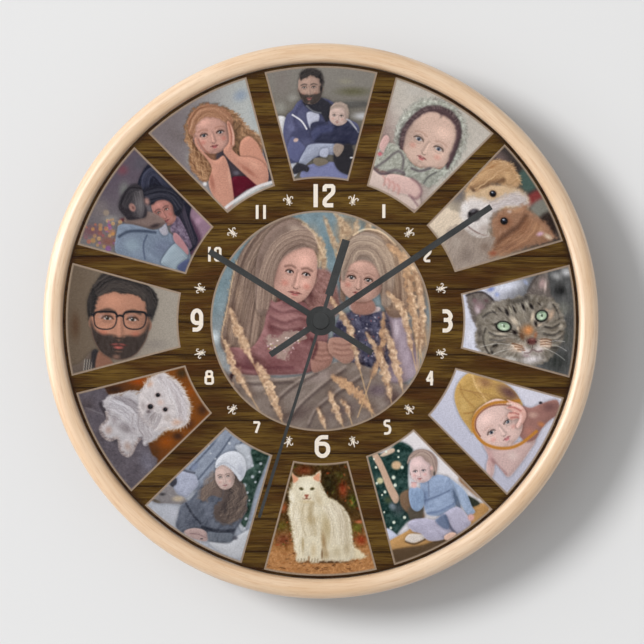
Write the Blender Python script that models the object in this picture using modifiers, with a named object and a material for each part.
"""Round wall clock: a wooden ring, a printed dial behind a clear lens, and a quartz movement.

Run it with blender --background --python part.py, or from Blender's text editor. Sizes are in metres.
+Z is up, the front faces -Y and the wall is the plane y = 0. The origin is where the wall hook carries
the hanger. Everything hangs on an empty turned so that its local x runs right, y runs up and z runs from
the wall towards the viewer, so each piece is drawn as it is seen from the front.
"""
import math

import bmesh
import bpy

# Clearances
GAP = 0.0003  # left between two pieces that rest on each other
RUNNING = 0.00025  # radial, round a shaft that turns in a hole

# Wooden ring
RING_OUTER_RADIUS = 0.1359
RING_WIDTH = 0.0098
BEAD_STEP = 0.0005
BEAD_DEPTH = 0.006
LENS_LEDGE = 0.0028
LIP_STRAIGHT = 0.0005

# Lens, dial and board
LENS_THICKNESS = 0.002
LENS_CLEARANCE = 0.0032  # between the second hand's cap and the lens
DIAL_THICKNESS = 0.001
BOARD_THICKNESS = 0.003
TAB_COUNT = 4
TAB_WIDTH = 0.008
TAB_THICKNESS = 0.0008
TAB_REACH = 0.009
TAB_ROOT = 0.0025

# Hanger
HOOK_ABOVE_ARBOR = 0.040
HANGER_WIDTH = 0.024
HANGER_THICKNESS = 0.0025
HANGER_RIM = 0.004
HANGER_CORNER = 0.005
HANGER_SLOT_WIDTH = 0.014
HANGER_NOTCH = 0.0012

# Movement case
WALL_GAP = 0.0015
CASE_WALL = 0.0012
CASE_FRONT_WALL = 0.0015
COVER_THICKNESS = 0.0015
CASE_TOP = 0.028
CASE_CORNER = 0.003
TRAIN_MARGIN = 0.0017
POST_RADIUS = 0.0016
BUSH_WALL = 0.0011
BUSH_ABOVE_NUT = 0.0005
PIVOT_DEPTH = 0.0009
FINGER_NOTCH_RADIUS = 0.007

# Battery and its contacts
BATTERY_RADIUS = 0.007
BATTERY_LENGTH = 0.0505
BATTERY_NUB_RADIUS = 0.00275
BATTERY_NUB_LENGTH = 0.0013
CONTACT_THICKNESS = 0.0005
CONTACT_WIDTH = 0.009
STRIP_WIDTH = 0.003

# Fastening at the centre
GASKET_THICKNESS = 0.0008
GASKET_RADIUS = 0.009
WASHER_THICKNESS = 0.0005
WASHER_RADIUS = 0.0066
NUT_THICKNESS = 0.002
NUT_ACROSS_FLATS = 0.011

# Tooth form, in modules
ADDENDUM = 0.8
DEDENDUM = 1.0
BACKLASH = 0.15
PRESSURE_ANGLE = math.radians(20)

# Going train: the rotor turns once in two seconds, the second wheel in a minute, the centre wheel in an hour
ROTOR_LEAVES = 6
INTERMEDIATE_TEETH = 36
INTERMEDIATE_LEAVES = 6
SECOND_TEETH = 30
SECOND_LEAVES = 6
THIRD_TEETH = 48
THIRD_LEAVES = 6
CENTRE_TEETH = 45
ROTOR_DISTANCE = 0.007
INTERMEDIATE_DISTANCE = 0.00768
THIRD_DISTANCE = 0.0102
ROTOR_ANGLE = math.radians(60)
INTERMEDIATE_ANGLE = math.radians(25)
THIRD_ANGLE = math.radians(115)

# Motion work: the minute tube drives the hour tube at one twelfth
CANNON_LEAVES = 10
WORK_TEETH = 30
WORK_LEAVES = 8
HOUR_TEETH = 32
KNOB_LEAVES = 10
WORK_DISTANCE = 0.00816
WORK_ANGLE = math.radians(170)
WORK_STUD_RADIUS = 0.0006
KNOB_ANGLE = math.radians(150)

# Wheels and arbors
WHEEL_FACE = 0.0008
PINION_FACE = 0.0014
LEVEL_GAP = 0.0005
ARBOR_RADIUS = 0.0005
MINUTE_TUBE_WALL = 0.0008
HOUR_TUBE_WALL = 0.0007
SPRING_THICKNESS = 0.0003
SPRING_RADIUS = 0.004
PLATE_THICKNESS = 0.0008
KNOB_RADIUS = 0.0056
KNOB_THICKNESS = 0.0026
KNOB_SHAFT_RADIUS = 0.0013
KNOB_RIBS = 12
WELL_WALL = 0.001

# Motor and circuit
MAGNET_RADIUS = 0.0023
MAGNET_HEIGHT = 0.002
AIR_GAP = 0.00045
STATOR_THICKNESS = 0.0008
STATOR_LOBE = 0.0046
STATOR_HALF_HEIGHT = 0.0095
STATOR_ARM = 0.0035
CORE_WIDTH = 0.003
COIL_RADIUS = 0.0045
COIL_WINDING_RADIUS = 0.0038
COIL_FLANGE = 0.0009
CORE_DISTANCE = 0.0096
BOARD_LENGTH = 0.014
BOARD_HEIGHT = 0.0085
CIRCUIT_THICKNESS = 0.0008
CRYSTAL_RADIUS = 0.001
CRYSTAL_LENGTH = 0.006

# Hands: angles are clockwise from twelve, as seen from the front
HAND_THICKNESS = 0.0005
HAND_SPACING = 0.0015
COLLAR_LENGTH = 0.001
COLLAR_WALL = 0.0006
HOUR_REACH = 0.0643
HOUR_WIDTH = 0.003
HOUR_TAIL = 0.0297
HOUR_HUB_RADIUS = 0.0072
HOUR_AT = math.radians(301.95)
MINUTE_REACH = 0.1003
MINUTE_WIDTH = 0.003
MINUTE_TAIL = 0.0298
MINUTE_HUB_RADIUS = 0.0058
MINUTE_AT = math.radians(56.15)
SECOND_REACH = 0.1008
SECOND_WIDTH = 0.0015
SECOND_NECK = 0.0132
SECOND_NECK_WIDTH = 0.0019
SECOND_PADDLE_WIDTH = 0.0039
SECOND_TAIL = 0.0415
SECOND_HUB_RADIUS = 0.0047
SECOND_CAP_HEIGHT = 0.0011
SECOND_AT = math.radians(197.4)

# How finely round shapes are drawn
RING_STEPS = 60
HUB_STEPS = 24
TUBE_STEPS = 16
ARBOR_STEPS = 8
NOSE_STEPS = 6

# Depths from the wall, worked out from the back forwards
COVER_INSIDE = WALL_GAP + COVER_THICKNESS
INTERMEDIATE_LOW = COVER_INSIDE + 3 * LEVEL_GAP
SECOND_LOW = INTERMEDIATE_LOW + 2 * WHEEL_FACE
THIRD_LOW = SECOND_LOW + WHEEL_FACE + PINION_FACE - WHEEL_FACE / 4
PLATE_LOW = THIRD_LOW + WHEEL_FACE + LEVEL_GAP
PLATE_HIGH = PLATE_LOW + PLATE_THICKNESS
CENTRE_LOW = PLATE_HIGH + LEVEL_GAP
SPRING_LOW = CENTRE_LOW + WHEEL_FACE + GAP
CANNON_LOW = SPRING_LOW + SPRING_THICKNESS + GAP
WORK_LOW = CANNON_LOW + (PINION_FACE - WHEEL_FACE) / 2
HOUR_LOW = CANNON_LOW + PINION_FACE + LEVEL_GAP
TRAIN_FRONT = HOUR_LOW + WHEEL_FACE + LEVEL_GAP
BATTERY_FRONT = WALL_GAP + 2 * GAP + 2 * BATTERY_RADIUS
CASE_INSIDE = max(TRAIN_FRONT, BATTERY_FRONT)
CASE_FRONT = CASE_INSIDE + CASE_FRONT_WALL
GASKET_LOW = CASE_FRONT + GAP
BOARD_LOW = GASKET_LOW + GASKET_THICKNESS + GAP
BOARD_HIGH = BOARD_LOW + BOARD_THICKNESS
DIAL_LOW = BOARD_HIGH + GAP
DIAL_HIGH = DIAL_LOW + DIAL_THICKNESS
WASHER_LOW = DIAL_HIGH + GAP
NUT_LOW = WASHER_LOW + WASHER_THICKNESS + GAP
BUSH_HIGH = NUT_LOW + NUT_THICKNESS + BUSH_ABOVE_NUT
HOUR_HAND_LOW = BUSH_HIGH + LEVEL_GAP + COLLAR_LENGTH
MINUTE_HAND_LOW = HOUR_HAND_LOW + HAND_THICKNESS + HAND_SPACING
SECOND_HAND_LOW = MINUTE_HAND_LOW + HAND_THICKNESS + HAND_SPACING
SECOND_CAP_HIGH = SECOND_HAND_LOW + HAND_THICKNESS + SECOND_CAP_HEIGHT
LENS_LOW = SECOND_CAP_HIGH + LENS_CLEARANCE
LENS_HIGH = LENS_LOW + LENS_THICKNESS
LENS_SEAT = LENS_HIGH + GAP
NOSE_RADIUS = (RING_WIDTH - BEAD_STEP) / 2
NOSE_CENTRE = LENS_SEAT + LIP_STRAIGHT
RING_DEPTH = NOSE_CENTRE + NOSE_RADIUS

# Radii worked out from the same values
RING_OPENING_RADIUS = RING_OUTER_RADIUS - RING_WIDTH
BORE_RADIUS = RING_OPENING_RADIUS + LENS_LEDGE
DISC_RADIUS = BORE_RADIUS - GAP
PIVOT_HOLE = ARBOR_RADIUS + RUNNING
MINUTE_TUBE_RADIUS = PIVOT_HOLE + MINUTE_TUBE_WALL
HOUR_TUBE_BORE = MINUTE_TUBE_RADIUS + RUNNING
HOUR_TUBE_RADIUS = HOUR_TUBE_BORE + HOUR_TUBE_WALL
BUSH_BORE = HOUR_TUBE_RADIUS + RUNNING
BUSH_RADIUS = BUSH_BORE + BUSH_WALL
CENTRE_HOLE = BUSH_RADIUS + GAP

# Modules that make each pair of wheels fill its centre distance
ROTOR_MODULE = 2 * ROTOR_DISTANCE / (ROTOR_LEAVES + INTERMEDIATE_TEETH)
SECOND_MODULE = 2 * INTERMEDIATE_DISTANCE / (INTERMEDIATE_LEAVES + SECOND_TEETH)
THIRD_MODULE = 2 * THIRD_DISTANCE / (SECOND_LEAVES + THIRD_TEETH)
CENTRE_MODULE = 2 * THIRD_DISTANCE / (THIRD_LEAVES + CENTRE_TEETH)
WORK_MODULE = 2 * WORK_DISTANCE / (CANNON_LEAVES + WORK_TEETH)
HOUR_MODULE = 2 * WORK_DISTANCE / (WORK_LEAVES + HOUR_TEETH)
KNOB_DISTANCE = WORK_MODULE * (WORK_TEETH + KNOB_LEAVES) / 2


def polar(distance, angle, start=(0, 0)):
    return (start[0] + distance * math.cos(angle), start[1] + distance * math.sin(angle))


# Where each arbor stands, seen from the front with the hands' arbor at 0, 0
THIRD_AT = polar(THIRD_DISTANCE, THIRD_ANGLE)
INTERMEDIATE_AT = polar(INTERMEDIATE_DISTANCE, INTERMEDIATE_ANGLE)
ROTOR_AT = polar(ROTOR_DISTANCE, ROTOR_ANGLE, INTERMEDIATE_AT)
WORK_AT = polar(WORK_DISTANCE, WORK_ANGLE)
KNOB_AT = polar(KNOB_DISTANCE, KNOB_ANGLE, WORK_AT)

# The case round its battery bay and its train
HALF_WIDTH_INSIDE = BATTERY_LENGTH / 2 + CONTACT_THICKNESS + 2 * GAP
HALF_WIDTH = HALF_WIDTH_INSIDE + CASE_WALL
TRAIN_FLOOR = -(CENTRE_TEETH / 2 + ADDENDUM) * CENTRE_MODULE - TRAIN_MARGIN
BAY_TOP = TRAIN_FLOOR - CASE_WALL
BATTERY_Y = BAY_TOP - GAP - BATTERY_RADIUS
BAY_BOTTOM = BATTERY_Y - BATTERY_RADIUS - GAP
CASE_BOTTOM = BAY_BOTTOM - CASE_WALL
TOP_INSIDE = CASE_TOP - CASE_WALL


def clear_scene():
    for thing in list(bpy.data.objects):
        bpy.data.objects.remove(thing, do_unlink=True)


def new_collection(name):
    made = bpy.data.collections.new(name)
    bpy.context.scene.collection.children.link(made)
    return made


def new_material(name, colour, roughness, metallic=0.0, alpha=1.0):
    made = bpy.data.materials.new(name)
    made.use_nodes = True
    shader = made.node_tree.nodes["Principled BSDF"]
    shader.inputs["Base Color"].default_value = (*colour, 1)
    shader.inputs["Roughness"].default_value = roughness
    shader.inputs["Metallic"].default_value = metallic
    shader.inputs["Alpha"].default_value = alpha
    return made


def new_empty(name, parent, place, turn=(0, 0, 0)):
    made = bpy.data.objects.new(name, None)
    PARTS.objects.link(made)
    made.parent = parent
    made.location = place
    made.rotation_euler = turn
    return made


def new_object(name, mesh):
    made = bpy.data.objects.new(name, mesh)
    PARTS.objects.link(made)
    return made


def as_mesh(shape):
    """Takes the evaluated shape as a mesh, closes its caps and shades its round faces."""
    evaluated = shape.evaluated_get(bpy.context.evaluated_depsgraph_get())
    mesh = bpy.data.meshes.new_from_object(evaluated)
    name = shape.name
    bpy.data.objects.remove(shape, do_unlink=True)
    work = bmesh.new()
    work.from_mesh(mesh)
    bmesh.ops.remove_doubles(work, verts=work.verts, dist=0.000002)
    work.to_mesh(mesh)
    work.free()
    mesh.shade_smooth()
    mesh.set_sharp_from_angle(angle=math.radians(35))
    return new_object(name, mesh)


def flat_piece(name, outlines, low, high):
    """A plate with its faces at low and high. The first outline is the edge, and the others are holes."""
    curve = bpy.data.curves.new(name, "CURVE")
    curve.dimensions = "2D"
    curve.fill_mode = "BOTH"
    curve.extrude = (high - low) / 2
    for outline in outlines:
        spline = curve.splines.new("POLY")
        spline.points.add(len(outline) - 1)
        for point, (x, y) in zip(spline.points, outline):
            point.co = (x, y, 0, 1)
        spline.use_cyclic_u = True
    made = as_mesh(new_object(name, curve))
    for vertex in made.data.vertices:
        vertex.co.z += (low + high) / 2
    return made


def turned_piece(name, profile, steps):
    """A profile of (radius, z) points, turned about z. It runs down its outer side, from top to bottom,
    and one that doesn't start on the axis closes into a loop, which leaves a bore."""
    mesh = bpy.data.meshes.new(name)
    count = len(profile)
    edges = [(i, i + 1) for i in range(count - 1)]
    if profile[0][0] > 0:
        edges.append((count - 1, 0))
    mesh.from_pydata([(radius, 0, z) for radius, z in profile], edges, [])
    made = new_object(name, mesh)
    screw = made.modifiers.new("turn", "SCREW")
    screw.axis = "Z"
    screw.angle = math.tau
    screw.steps = steps
    screw.render_steps = steps
    screw.use_merge_vertices = True
    screw.merge_threshold = 0.000002
    return as_mesh(made)


def rod(name, radius, low, high, steps=ARBOR_STEPS):
    return turned_piece(name, [(0, high), (radius, high), (radius, low), (0, low)], steps)


def tube(name, bore, radius, low, high, steps=TUBE_STEPS):
    return turned_piece(name, [(radius, high), (radius, low), (bore, low), (bore, high)], steps)


def block(name, low, high):
    """A box between two opposite corners."""
    mesh = bpy.data.meshes.new(name)
    work = bmesh.new()
    bmesh.ops.create_cube(work, size=1)
    size = [b - a for a, b in zip(low, high)]
    middle = [(a + b) / 2 for a, b in zip(low, high)]
    bmesh.ops.scale(work, vec=size, verts=work.verts)
    bmesh.ops.translate(work, vec=middle, verts=work.verts)
    work.to_mesh(mesh)
    work.free()
    return new_object(name, mesh)


def use(target, tools, operation):
    """Joins the tools to the target, or cuts them out of it. They stay in the construction collection."""
    for tool in tools:
        PARTS.objects.unlink(tool)
        CONSTRUCTION.objects.link(tool)
        tool.parent = target
        tool.hide_render = True
        tool.display_type = "WIRE"
        boolean = target.modifiers.new(tool.name, "BOOLEAN")
        boolean.operation = operation
        boolean.solver = "EXACT"
        boolean.object = tool
    return target


def finish(piece, material, parent, place=(0, 0, 0)):
    piece.data.materials.clear()
    piece.data.materials.append(material)
    piece.parent = parent
    piece.location = place
    return piece


def arc(radius, start, end, steps, middle=(0, 0)):
    return [polar(radius, start + (end - start) * i / steps, middle) for i in range(steps + 1)]


def circle(radius, steps, middle=(0, 0)):
    return arc(radius, 0, math.tau, steps, middle)[:-1]


def rounded_box(left, bottom, right, top, corner, steps=4):
    corners = [(right - corner, top - corner), (left + corner, top - corner),
               (left + corner, bottom + corner), (right - corner, bottom + corner)]
    outline = []
    for i, middle in enumerate(corners):
        outline += arc(corner, i * math.pi / 2, (i + 1) * math.pi / 2, steps, middle)
    return outline


def involute(angle):
    return math.tan(angle) - angle


def tooth_outline(teeth, module, phase):
    """A spur gear's edge. Each flank follows the involute of the base circle, and phase is the angle of
    the middle of one tooth."""
    pitch = teeth * module / 2
    base = pitch * math.cos(PRESSURE_ANGLE)
    root = pitch - DEDENDUM * module
    tip = pitch + ADDENDUM * module
    radii = [root, tip] if base - root < module / 4 else [root, base, tip]
    at_pitch = math.pi / (2 * teeth) - BACKLASH / teeth + involute(PRESSURE_ANGLE)
    flank = [(radius, at_pitch - involute(math.acos(base / max(radius, base)))) for radius in radii]
    outline = []
    for tooth in range(teeth):
        middle = phase + math.tau * tooth / teeth
        outline += [polar(radius, middle - half) for radius, half in flank]
        outline += [polar(radius, middle + half) for radius, half in reversed(flank)]
    return outline


def meshed(phase, teeth, direction, other_teeth):
    """The phase of a gear that meshes with one of this phase, in this direction from it."""
    teeth_past = (direction - phase) / (math.tau / teeth)
    return direction + math.pi - (math.tau / other_teeth) * (0.5 - teeth_past)


def wheel(name, low, teeth, module, phase, face=WHEEL_FACE, bore=0):
    outlines = [tooth_outline(teeth, module, phase)]
    if bore:
        outlines.append(circle(bore, TUBE_STEPS))
    return flat_piece(name, outlines, low, low + face)


def make_ring():
    """The ring is turned: a bull-nosed front, a small bead round the back edge, and a ledge for the lens."""
    body = RING_OUTER_RADIUS - BEAD_STEP
    nose = [(body - NOSE_RADIUS + x, NOSE_CENTRE + z)
            for x, z in arc(NOSE_RADIUS, math.pi, 0, NOSE_STEPS)]
    bead = [(body, BEAD_DEPTH), (RING_OUTER_RADIUS, BEAD_DEPTH - BEAD_STEP),
            (RING_OUTER_RADIUS, BEAD_STEP), (RING_OUTER_RADIUS - BEAD_STEP, 0)]
    inside = [(BORE_RADIUS, 0), (BORE_RADIUS, LENS_SEAT), (RING_OPENING_RADIUS, LENS_SEAT)]
    ring = turned_piece("frame_ring", nose + bead + inside, RING_STEPS)
    slots = []
    for i in range(TAB_COUNT):
        half = TAB_WIDTH / 2 + GAP
        slot = block(f"tab_slot_{i + 1}",
                     (BORE_RADIUS - TAB_ROOT, -half, BOARD_LOW - 3 * GAP - TAB_THICKNESS),
                     (BORE_RADIUS + TAB_ROOT + GAP, half, BOARD_LOW - GAP / 2))
        slot.rotation_euler = (0, 0, math.tau * (i + 0.5) / TAB_COUNT)
        slots.append(slot)
    return finish(use(ring, slots, "DIFFERENCE"), WOOD, ARBOR)


def make_front():
    """The lens, the ring that spaces it from the dial, the dial and the board, from front to back."""
    finish(rod("lens", DISC_RADIUS, LENS_LOW, LENS_HIGH, RING_STEPS), ACRYLIC, ARBOR)
    spacer = tube("spacer_ring", RING_OPENING_RADIUS + GAP, DISC_RADIUS, DIAL_HIGH + GAP,
                  LENS_LOW - GAP, RING_STEPS)
    finish(spacer, GREY_CARD, ARBOR)
    disc = [circle(DISC_RADIUS, RING_STEPS), circle(CENTRE_HOLE, TUBE_STEPS)]
    finish(flat_piece("dial", disc, DIAL_LOW, DIAL_HIGH), PRINTED_CARD, ARBOR)
    finish(flat_piece("back_board", disc, BOARD_LOW, BOARD_HIGH), FIBREBOARD, ARBOR)


def make_tabs():
    """Each tab is a steel strip pushed into a saw cut in the ring, so that it holds the board from behind."""
    for i in range(TAB_COUNT):
        corner = TAB_WIDTH / 4
        outer = BORE_RADIUS + TAB_ROOT
        outline = rounded_box(BORE_RADIUS - TAB_REACH, -TAB_WIDTH / 2, outer, TAB_WIDTH / 2, corner, 3)
        high = BOARD_LOW - 2 * GAP
        tab = flat_piece(f"retaining_tab_{i + 1}", [outline], high - TAB_THICKNESS, high)
        tab.rotation_euler = (0, 0, math.tau * (i + 0.5) / TAB_COUNT)
        finish(tab, STEEL, ARBOR)


def hanger_outlines():
    """A loop over the case. The top edge of its slot has a notch in the middle, where the hook sits."""
    half = HANGER_WIDTH / 2
    top = HOOK_ABOVE_ARBOR + HANGER_RIM
    root = CASE_TOP - CASE_WALL / 2
    bend = HANGER_CORNER
    edge = [(half, root)] + arc(bend, 0, math.pi / 2, 4, (half - bend, top - bend))
    edge += arc(bend, math.pi / 2, math.pi, 4, (bend - half, top - bend))
    edge += [(-half, root)]
    slot_half = HANGER_SLOT_WIDTH / 2
    slot_bottom = CASE_TOP + CASE_WALL
    shoulder = HOOK_ABOVE_ARBOR - HANGER_NOTCH
    notch = [(HANGER_NOTCH * 2, shoulder)] + arc(HANGER_NOTCH, math.pi / 3, 2 * math.pi / 3, 2,
                                                 (0, HOOK_ABOVE_ARBOR - HANGER_NOTCH))
    notch += [(-HANGER_NOTCH * 2, shoulder)]
    return [edge, [(slot_half, slot_bottom), (slot_half, shoulder)] + notch
            + [(-slot_half, shoulder), (-slot_half, slot_bottom)]]


def make_case():
    """The moulded front half of the movement: a shallow tray with a bay for the battery, the threaded
    bush, posts for the middle plate and the hanger."""
    tray = flat_piece("movement_case", [rounded_box(-HALF_WIDTH, CASE_BOTTOM, HALF_WIDTH, CASE_TOP,
                                                    CASE_CORNER)], WALL_GAP, CASE_FRONT)
    behind = WALL_GAP - CASE_WALL
    inner_corner = CASE_CORNER - CASE_WALL
    train = flat_piece("train_space", [rounded_box(-HALF_WIDTH_INSIDE, TRAIN_FLOOR, HALF_WIDTH_INSIDE,
                                                   TOP_INSIDE, inner_corner)], behind, CASE_INSIDE)
    bay = flat_piece("battery_bay", [rounded_box(-HALF_WIDTH_INSIDE, BAY_BOTTOM, HALF_WIDTH_INSIDE,
                                                 BAY_TOP, inner_corner)], behind, CASE_INSIDE)
    notch = rod("finger_notch", FINGER_NOTCH_RADIUS, -CASE_WALL, CASE_WALL, HUB_STEPS)
    notch.rotation_euler = (math.pi / 2, 0, 0)
    notch.location = (0, CASE_BOTTOM + CASE_WALL / 2, WALL_GAP)
    cuts = [train, bay, notch]
    through = rod("bush_seat", (BUSH_BORE + BUSH_RADIUS) / 2, CASE_INSIDE - CASE_WALL,
                  CASE_FRONT + CASE_WALL, TUBE_STEPS)
    cuts.append(through)
    for name, place in (("third", THIRD_AT), ("knob", KNOB_AT)):
        hole = rod(f"{name}_front_pivot_hole", PIVOT_HOLE, CASE_INSIDE - CASE_WALL,
                   CASE_INSIDE + PIVOT_DEPTH)
        hole.location = (*place, 0)
        cuts.append(hole)
    for side in (-1, 1):
        inner = side * (HALF_WIDTH_INSIDE - 2 * GAP - CONTACT_THICKNESS - GAP)
        outer = side * (HALF_WIDTH_INSIDE + GAP / 2)
        cuts.append(block(f"strip_gate_{'left' if side < 0 else 'right'}",
                          (min(inner, outer), BAY_TOP - inner_corner, strip_low() - GAP),
                          (max(inner, outer), TRAIN_FLOOR + inner_corner, CASE_INSIDE - CASE_WALL / 4)))
    use(tray, cuts, "DIFFERENCE")
    loop = flat_piece("hanger_loop", hanger_outlines(), WALL_GAP + GAP, WALL_GAP + HANGER_THICKNESS)
    bush = tube("bush", BUSH_BORE, BUSH_RADIUS, CASE_INSIDE + CASE_FRONT_WALL / 3, BUSH_HIGH)
    joined = [loop, bush]
    stud = rod("work_stud", WORK_STUD_RADIUS, WORK_LOW, CASE_INSIDE + CASE_WALL / 2)
    stud.location = (*WORK_AT, 0)
    joined.append(stud)
    for i, (x, y) in enumerate(post_places()):
        post = rod(f"plate_post_{i + 1}", POST_RADIUS, PLATE_HIGH + GAP, CASE_INSIDE + CASE_WALL / 2)
        post.location = (x, y, 0)
        joined.append(post)
    use(tray, joined, "UNION")
    return finish(tray, WHITE_PLASTIC, ARBOR)


def strip_low():
    return CASE_INSIDE - STRIP_WIDTH - CASE_WALL / 2


def post_places():
    x = HALF_WIDTH_INSIDE - 2 * POST_RADIUS
    return [(-x, TRAIN_FLOOR + 4 * POST_RADIUS), (-x, TOP_INSIDE - 2 * POST_RADIUS),
            (ROTOR_AT[0], TOP_INSIDE - 2 * POST_RADIUS)]


def make_cover():
    """The back cover of the train, with a well that sinks the setting knob below its face."""
    outline = rounded_box(GAP - HALF_WIDTH_INSIDE, TRAIN_FLOOR + GAP, HALF_WIDTH_INSIDE - GAP,
                          TOP_INSIDE - GAP, CASE_CORNER - CASE_WALL)
    well_radius = KNOB_RADIUS + 2 * GAP
    well_floor = WALL_GAP + KNOB_THICKNESS + 2 * GAP
    cover = flat_piece("movement_cover", [outline], WALL_GAP, COVER_INSIDE)
    cup = rod("knob_cup", well_radius + WELL_WALL, COVER_INSIDE - GAP, well_floor + WELL_WALL, HUB_STEPS)
    well = rod("knob_well", well_radius, WALL_GAP - CASE_WALL, well_floor, HUB_STEPS)
    hole = rod("knob_shaft_hole", KNOB_SHAFT_RADIUS + RUNNING, WALL_GAP, well_floor + 2 * WELL_WALL)
    for tool in (cup, well, hole):
        tool.location = (*KNOB_AT, 0)
    use(cover, [cup], "UNION")
    cuts = [well, hole]
    for name, place in (("second", (0, 0)), ("third", THIRD_AT), ("intermediate", INTERMEDIATE_AT),
                        ("rotor", ROTOR_AT)):
        pivot = rod(f"{name}_back_pivot_hole", PIVOT_HOLE, COVER_INSIDE - PIVOT_DEPTH,
                    COVER_INSIDE + CASE_WALL)
        pivot.location = (*place, 0)
        cuts.append(pivot)
    use(cover, cuts, "DIFFERENCE")
    return finish(cover, WHITE_PLASTIC, ARBOR)


def make_middle_plate():
    """The plate between the train and the motion work. It stops short of the coil."""
    right = ROTOR_AT[0] + CORE_DISTANCE - COIL_RADIUS - 2 * GAP
    outline = rounded_box(GAP - HALF_WIDTH_INSIDE, TRAIN_FLOOR + GAP, right, TOP_INSIDE - GAP,
                          CASE_CORNER - CASE_WALL)
    holes = [circle(PIVOT_HOLE, ARBOR_STEPS, place)
             for place in ((0, 0), THIRD_AT, INTERMEDIATE_AT, ROTOR_AT)]
    holes.append(circle(KNOB_SHAFT_RADIUS + RUNNING, ARBOR_STEPS, KNOB_AT))
    plate = flat_piece("middle_plate", [outline] + holes, PLATE_LOW, PLATE_HIGH)
    return finish(plate, BLACK_PLASTIC, ARBOR)


def make_centre_fastening():
    gasket = tube("gasket", CENTRE_HOLE, GASKET_RADIUS, GASKET_LOW, GASKET_LOW + GASKET_THICKNESS)
    finish(gasket, RUBBER, ARBOR)
    washer = tube("washer", CENTRE_HOLE, WASHER_RADIUS, WASHER_LOW, WASHER_LOW + WASHER_THICKNESS)
    finish(washer, BRASS, ARBOR)
    hexagon = circle(NUT_ACROSS_FLATS / 2 / math.cos(math.pi / 6), 6)
    nut = flat_piece("hex_nut", [hexagon, circle(CENTRE_HOLE, TUBE_STEPS)], NUT_LOW, NUT_LOW + NUT_THICKNESS)
    finish(nut, BRASS, ARBOR)


def make_battery():
    """An AA cell on its side, and the two contacts with the strips that lead to the circuit."""
    shoulder = BATTERY_LENGTH / 2 - BATTERY_NUB_LENGTH
    profile = [(0, BATTERY_LENGTH / 2), (BATTERY_NUB_RADIUS, BATTERY_LENGTH / 2),
               (BATTERY_NUB_RADIUS, shoulder), (BATTERY_RADIUS - BEAD_STEP, shoulder),
               (BATTERY_RADIUS, shoulder - BEAD_STEP), (BATTERY_RADIUS, BEAD_STEP - BATTERY_LENGTH / 2),
               (BATTERY_RADIUS - BEAD_STEP, -BATTERY_LENGTH / 2), (0, -BATTERY_LENGTH / 2)]
    cell = turned_piece("battery", profile, HUB_STEPS)
    cell.rotation_euler = (0, math.pi / 2, 0)
    middle = WALL_GAP + GAP + BATTERY_RADIUS
    finish(cell, CELL_JACKET, ARBOR, (0, BATTERY_Y, middle))

    inner = BATTERY_LENGTH / 2 + GAP
    outer = inner + CONTACT_THICKNESS
    low, high = strip_low(), strip_low() + STRIP_WIDTH
    strip_bottom = TRAIN_FLOOR + GAP
    strip_top = strip_bottom + CONTACT_THICKNESS
    pad_low = (BATTERY_Y - CONTACT_WIDTH / 2, middle - CONTACT_WIDTH / 2)
    plus = block("contact_positive", (inner, *pad_low), (outer, BATTERY_Y + CONTACT_WIDTH / 2, high))
    tongue = block("positive_tongue", (inner + GAP / 4, BATTERY_Y, low),
                   (outer - GAP / 4, TRAIN_FLOOR + STRIP_WIDTH, high - GAP / 4))
    finish(use(plus, [tongue], "UNION"), STEEL, ARBOR)
    minus = block("contact_negative", (-outer, *pad_low), (-inner, BATTERY_Y + CONTACT_WIDTH / 2, high))
    tongue = block("negative_tongue", (GAP / 4 - outer, BATTERY_Y, low),
                   (-GAP / 4 - inner, strip_top - GAP / 4, high - GAP / 4))
    lead = block("negative_lead", (-inner - CONTACT_THICKNESS / 2, strip_bottom, low + GAP / 4),
                 (circuit_left() - GAP, strip_top, high - GAP / 2))
    finish(use(minus, [tongue, lead], "UNION"), STEEL, ARBOR)


def circuit_left():
    return BATTERY_LENGTH / 2 - BOARD_LENGTH


def make_circuit():
    """The circuit board lies against the front wall, with the quartz crystal's can soldered to its back."""
    left = circuit_left()
    bottom = TRAIN_FLOOR + GAP
    outline = rounded_box(left, bottom, left + BOARD_LENGTH, bottom + BOARD_HEIGHT, BEAD_STEP, 2)
    low = CASE_INSIDE - GAP - CIRCUIT_THICKNESS
    finish(flat_piece("circuit_board", [outline], low, low + CIRCUIT_THICKNESS), CIRCUIT_GREEN, ARBOR)
    can = rod("quartz_crystal", CRYSTAL_RADIUS, -CRYSTAL_LENGTH / 2, CRYSTAL_LENGTH / 2)
    can.rotation_euler = (0, math.pi / 2, 0)
    place = (left + BOARD_LENGTH / 2, bottom + BOARD_HEIGHT / 2, low - GAP - CRYSTAL_RADIUS)
    finish(can, STEEL, ARBOR, place)


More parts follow.
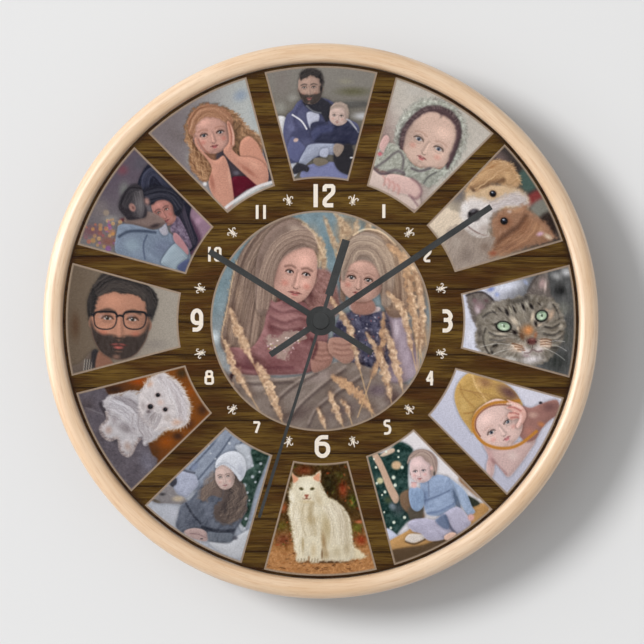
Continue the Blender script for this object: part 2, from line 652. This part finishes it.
def make_motor():
    """The stator is a stamped loop: a lobe round the rotor, and a straight core inside the coil."""
    high = PLATE_LOW - GAP
    low = high - STATOR_THICKNESS
    x, y = ROTOR_AT
    left = x - CORE_WIDTH / 2
    core = x + CORE_DISTANCE
    right = core + CORE_WIDTH / 2
    reach = math.acos((x - left) / STATOR_LOBE)
    outline = [(left, y - STATOR_HALF_HEIGHT), (right, y - STATOR_HALF_HEIGHT),
               (right, y + STATOR_HALF_HEIGHT), (left, y + STATOR_HALF_HEIGHT)]
    outline += arc(STATOR_LOBE, math.pi - reach, math.pi + reach, 12, ROTOR_AT)
    window_half = STATOR_HALF_HEIGHT - STATOR_ARM
    window_left = core - COIL_RADIUS - GAP
    window = [(window_left, y - window_half), (core - CORE_WIDTH / 2, y - window_half),
              (core - CORE_WIDTH / 2, y + window_half), (window_left, y + window_half)]
    rotor_hole = circle(MAGNET_RADIUS + AIR_GAP, TUBE_STEPS, ROTOR_AT)
    finish(flat_piece("stator", [outline, window, rotor_hole], low, high), DARK_STEEL, ARBOR)

    half = window_half - GAP
    profile = [(COIL_RADIUS, half), (COIL_RADIUS, half - COIL_FLANGE),
               (COIL_WINDING_RADIUS, half - COIL_FLANGE), (COIL_WINDING_RADIUS, COIL_FLANGE - half),
               (COIL_RADIUS, COIL_FLANGE - half), (COIL_RADIUS, -half), (0, -half)]
    coil = turned_piece("coil", [(0, half)] + profile, TUBE_STEPS)
    slot_x = CORE_WIDTH / 2 + GAP
    slot_y = STATOR_THICKNESS / 2 + GAP
    slot = block("core_slot", (-slot_x, -slot_y, -2 * half), (slot_x, slot_y, 2 * half))
    use(coil, [slot], "DIFFERENCE")
    coil.rotation_euler = (-math.pi / 2, 0, 0)
    finish(coil, COPPER, ARBOR, (core, y, (low + high) / 2))


def axis(name, place, clockwise=0.0):
    """An empty on a turning axis, which the pieces on that axis follow."""
    return new_empty(name, ARBOR, (*place, 0), (0, 0, -clockwise))


def make_going_train():
    """Rotor, intermediate wheel, second wheel, third wheel and centre wheel, in mesh at rest."""
    back_end = COVER_INSIDE - PIVOT_DEPTH + GAP
    second = wheel("second_wheel", SECOND_LOW, SECOND_TEETH, SECOND_MODULE, 0)
    leaves_low = SECOND_LOW + WHEEL_FACE / 2
    leaves_high = THIRD_LOW + WHEEL_FACE + LEVEL_GAP / 2
    leaves = wheel("second_leaves", leaves_low, SECOND_LEAVES, THIRD_MODULE, 0, leaves_high - leaves_low)
    arbor = rod("second_arbor", ARBOR_RADIUS, back_end, SECOND_HAND_LOW + HAND_THICKNESS / 2 - GAP)
    finish(use(second, [leaves, arbor], "UNION"), WHITE_NYLON, axis("second_axis", (0, 0)))

    phase = meshed(0, SECOND_TEETH, INTERMEDIATE_ANGLE, INTERMEDIATE_LEAVES)
    wheel_phase = 0
    middle = wheel("intermediate_wheel", INTERMEDIATE_LOW, INTERMEDIATE_TEETH, ROTOR_MODULE, wheel_phase)
    leaves_low = INTERMEDIATE_LOW + WHEEL_FACE / 2
    leaves_high = SECOND_LOW + WHEEL_FACE + LEVEL_GAP / 2
    leaves = wheel("intermediate_leaves", leaves_low, INTERMEDIATE_LEAVES, SECOND_MODULE, phase,
                   leaves_high - leaves_low)
    arbor = rod("intermediate_arbor", ARBOR_RADIUS, back_end, PLATE_HIGH)
    finish(use(middle, [leaves, arbor], "UNION"), WHITE_NYLON, axis("intermediate_axis", INTERMEDIATE_AT))

    phase = meshed(wheel_phase, INTERMEDIATE_TEETH, ROTOR_ANGLE, ROTOR_LEAVES)
    leaves = wheel("rotor", INTERMEDIATE_LOW - LEVEL_GAP / 2, ROTOR_LEAVES, ROTOR_MODULE, phase, PINION_FACE)
    magnet_high = PLATE_LOW - GAP
    magnet = rod("rotor_magnet", MAGNET_RADIUS, magnet_high - MAGNET_HEIGHT, magnet_high, TUBE_STEPS)
    arbor = rod("rotor_arbor", ARBOR_RADIUS, back_end, PLATE_HIGH)
    finish(use(leaves, [magnet, arbor], "UNION"), DARK_STEEL, axis("rotor_axis", ROTOR_AT))

    phase = meshed(0, SECOND_LEAVES, THIRD_ANGLE, THIRD_TEETH)
    third = wheel("third_wheel", THIRD_LOW, THIRD_TEETH, THIRD_MODULE, phase)
    leaves = wheel("third_leaves", PLATE_HIGH + GAP, THIRD_LEAVES, CENTRE_MODULE, 0, PINION_FACE)
    arbor = rod("third_arbor", ARBOR_RADIUS, back_end, CASE_INSIDE + PIVOT_DEPTH - GAP)
    finish(use(third, [arbor, leaves], "UNION"), WHITE_NYLON, axis("third_axis", THIRD_AT))

    phase = meshed(0, THIRD_LEAVES, THIRD_ANGLE + math.pi, CENTRE_TEETH)
    centre = wheel("centre_wheel", CENTRE_LOW, CENTRE_TEETH, CENTRE_MODULE, phase, WHEEL_FACE,
                   MINUTE_TUBE_RADIUS + RUNNING)
    finish(centre, WHITE_NYLON, axis("centre_axis", (0, 0)))


def make_motion_work():
    """The minute tube slips in the centre wheel when the hands are set, held by a dished spring."""
    minute_axis = axis("minute_axis", (0, 0))
    cannon = tube("cannon_pinion", PIVOT_HOLE, MINUTE_TUBE_RADIUS, CENTRE_LOW,
                  MINUTE_HAND_LOW + HAND_THICKNESS)
    grip = (PIVOT_HOLE + MINUTE_TUBE_RADIUS) / 2
    leaves = wheel("cannon_leaves", CANNON_LOW, CANNON_LEAVES, WORK_MODULE, 0, PINION_FACE, grip)
    finish(use(cannon, [leaves], "UNION"), BRASS, minute_axis)
    spring = tube("clutch_spring", MINUTE_TUBE_RADIUS + RUNNING, SPRING_RADIUS, SPRING_LOW,
                  SPRING_LOW + SPRING_THICKNESS)
    finish(spring, STEEL, minute_axis)

    wheel_phase = meshed(0, CANNON_LEAVES, WORK_ANGLE, WORK_TEETH)
    bore = WORK_STUD_RADIUS + RUNNING
    work = wheel("minute_work_wheel", WORK_LOW, WORK_TEETH, WORK_MODULE, wheel_phase, WHEEL_FACE,
                 bore + RUNNING / 2)
    leaves_low = WORK_LOW + WHEEL_FACE / 2
    leaves_high = CASE_INSIDE - GAP
    leaves = wheel("work_leaves", leaves_low, WORK_LEAVES, HOUR_MODULE, 0, leaves_high - leaves_low, bore)
    finish(use(work, [leaves], "UNION"), WHITE_NYLON, axis("work_axis", WORK_AT))

    phase = meshed(0, WORK_LEAVES, WORK_ANGLE + math.pi, HOUR_TEETH)
    hour_axis = axis("hour_axis", (0, 0))
    hour = tube("hour_wheel", HOUR_TUBE_BORE, HOUR_TUBE_RADIUS, HOUR_LOW - LEVEL_GAP / 4,
                HOUR_HAND_LOW + HAND_THICKNESS)
    rim = wheel("hour_teeth", HOUR_LOW, HOUR_TEETH, HOUR_MODULE, phase, WHEEL_FACE,
                (HOUR_TUBE_BORE + HOUR_TUBE_RADIUS) / 2)
    finish(use(hour, [rim], "UNION"), BRASS, hour_axis)
    return minute_axis, hour_axis


def make_setting_knob():
    """The knob behind the case, its shaft, and the leaves that turn the minute work wheel."""
    wheel_phase = meshed(0, CANNON_LEAVES, WORK_ANGLE, WORK_TEETH)
    phase = meshed(wheel_phase, WORK_TEETH, KNOB_ANGLE, KNOB_LEAVES)
    rib = KNOB_RADIUS / KNOB_RIBS / 3
    points = 4 * KNOB_RIBS
    edge = [polar(KNOB_RADIUS - rib + rib * math.cos(KNOB_RIBS * math.tau * i / points),
                  math.tau * i / points) for i in range(points)]
    low = WALL_GAP + GAP
    high = low + KNOB_THICKNESS
    knob = flat_piece("setting_knob", [edge], low, high)
    leaves = wheel("knob_leaves", CANNON_LOW, KNOB_LEAVES, WORK_MODULE, phase, PINION_FACE)
    shaft = rod("knob_shaft", KNOB_SHAFT_RADIUS, high - GAP, CANNON_LOW + LEVEL_GAP, TUBE_STEPS)
    shaft.rotation_euler = (0, 0, math.pi / TUBE_STEPS)
    pivot = rod("knob_pivot", ARBOR_RADIUS, CANNON_LOW + PINION_FACE / 2, CASE_INSIDE + PIVOT_DEPTH - GAP)
    use(knob, [shaft, leaves, pivot], "UNION")
    finish(knob, WHITE_PLASTIC, axis("knob_axis", KNOB_AT))


def bar(width, hub_radius, reach, direction):
    """One end of a hand, from its hub out to a square-cut end and back."""
    half = width / 2
    start = math.sqrt(hub_radius ** 2 - half ** 2)
    ends = [(half, start), (half, reach), (-half, reach), (-half, start)]
    return [(x * direction, y * direction) for x, y in ends]


def hand(name, hub_radius, front, back, bore, low, collar_bore):
    """A hand that points up: a flat blank with its hub, and the collar that grips its tube or arbor."""
    outline = []
    for end, other in ((front, back), (back, front)):
        outline += end
        start = math.atan2(end[-1][1], end[-1][0])
        finish_at = math.atan2(other[0][1], other[0][0])
        sweep = (finish_at - start) % math.tau
        outline += arc(hub_radius, start, start + sweep, HUB_STEPS // 2)[1:-1]
    blank = flat_piece(name, [outline, circle(bore, TUBE_STEPS)], low, low + HAND_THICKNESS)
    collar = tube(f"{name}_collar", collar_bore, collar_bore + COLLAR_WALL, low - COLLAR_LENGTH,
                  low + HAND_THICKNESS / 2)
    return use(blank, [collar], "UNION")


def make_hands(minute_axis, hour_axis):
    """Straight black hands, stacked clear of each other in front of the dial."""
    bore = HOUR_TUBE_RADIUS + RUNNING
    front = bar(HOUR_WIDTH, HOUR_HUB_RADIUS, HOUR_REACH, 1)
    back = bar(HOUR_WIDTH, HOUR_HUB_RADIUS, HOUR_TAIL, -1)
    hour = hand("hour_hand", HOUR_HUB_RADIUS, front, back, bore + COLLAR_WALL / 2,
                HOUR_HAND_LOW, bore)
    hour.rotation_euler = (0, 0, -HOUR_AT)
    finish(hour, BLACK_PAINT, hour_axis)

    bore = MINUTE_TUBE_RADIUS + RUNNING
    front = bar(MINUTE_WIDTH, MINUTE_HUB_RADIUS, MINUTE_REACH, 1)
    back = bar(MINUTE_WIDTH, MINUTE_HUB_RADIUS, MINUTE_TAIL, -1)
    minute = hand("minute_hand", MINUTE_HUB_RADIUS, front, back, bore + COLLAR_WALL / 2,
                  MINUTE_HAND_LOW, bore)
    minute.rotation_euler = (0, 0, -MINUTE_AT)
    finish(minute, BLACK_PAINT, minute_axis)

    bore = PIVOT_HOLE
    front = bar(SECOND_WIDTH, SECOND_HUB_RADIUS, SECOND_REACH, 1)
    neck = bar(SECOND_NECK_WIDTH, SECOND_HUB_RADIUS, SECOND_NECK, -1)
    half = SECOND_PADDLE_WIDTH / 2
    paddle = [(-half, -SECOND_NECK), (-half, -SECOND_TAIL), (half, -SECOND_TAIL), (half, -SECOND_NECK)]
    back = neck[:2] + paddle + neck[2:]
    second = hand("second_hand", SECOND_HUB_RADIUS, front, back, bore + COLLAR_WALL / 2,
                  SECOND_HAND_LOW, bore)
    cap_low = SECOND_HAND_LOW + HAND_THICKNESS / 2
    cap_edge = SECOND_CAP_HEIGHT / 2
    cap_radius = SECOND_HUB_RADIUS - GAP
    cap_profile = [(0, SECOND_CAP_HIGH), (cap_radius - cap_edge, SECOND_CAP_HIGH),
                   (cap_radius, SECOND_CAP_HIGH - cap_edge), (cap_radius, cap_low), (0, cap_low)]
    cap = turned_piece("second_hand_cap", cap_profile, HUB_STEPS)
    use(second, [cap], "UNION")
    second.rotation_euler = (0, 0, -SECOND_AT)
    finish(second, BLACK_PAINT, bpy.data.objects["second_axis"])


clear_scene()
PARTS = new_collection("wall_clock")
CONSTRUCTION = new_collection("construction")
WOOD = new_material("pale_wood", (0.76, 0.55, 0.34), 0.45)
ACRYLIC = new_material("clear_acrylic", (0.95, 0.96, 0.97), 0.05, alpha=0.15)
GREY_CARD = new_material("grey_card", (0.55, 0.55, 0.54), 0.7)
PRINTED_CARD = new_material("printed_card", (0.09, 0.04, 0.012), 0.55)
FIBREBOARD = new_material("fibreboard", (0.35, 0.22, 0.12), 0.8)
STEEL = new_material("bright_steel", (0.6, 0.6, 0.6), 0.3, 1.0)
DARK_STEEL = new_material("dark_steel", (0.2, 0.2, 0.22), 0.4, 1.0)
BRASS = new_material("brass", (0.72, 0.5, 0.2), 0.3, 1.0)
COPPER = new_material("enamelled_copper", (0.6, 0.2, 0.06), 0.35, 0.6)
RUBBER = new_material("black_rubber", (0.02, 0.02, 0.02), 0.8)
WHITE_PLASTIC = new_material("ivory_plastic", (0.75, 0.74, 0.7), 0.5)
BLACK_PLASTIC = new_material("black_plastic", (0.02, 0.02, 0.02), 0.5)
WHITE_NYLON = new_material("white_nylon", (0.85, 0.85, 0.82), 0.45)
BLACK_PAINT = new_material("black_paint", (0.045, 0.047, 0.05), 0.4, 0.2)
CIRCUIT_GREEN = new_material("circuit_green", (0.02, 0.15, 0.05), 0.4)
CELL_JACKET = new_material("cell_jacket", (0.05, 0.05, 0.055), 0.3)
WALL = new_empty("wall_frame", None, (0, 0, 0), (math.pi / 2, 0, 0))
ARBOR = new_empty("hands_arbor", WALL, (0, -HOOK_ABOVE_ARBOR, 0))
make_ring()
make_front()
make_tabs()
make_case()
make_cover()
make_middle_plate()
make_centre_fastening()
make_battery()
make_circuit()
make_motor()
make_going_train()
make_hands(*make_motion_work())
make_setting_knob()
bpy.context.view_layer.update()
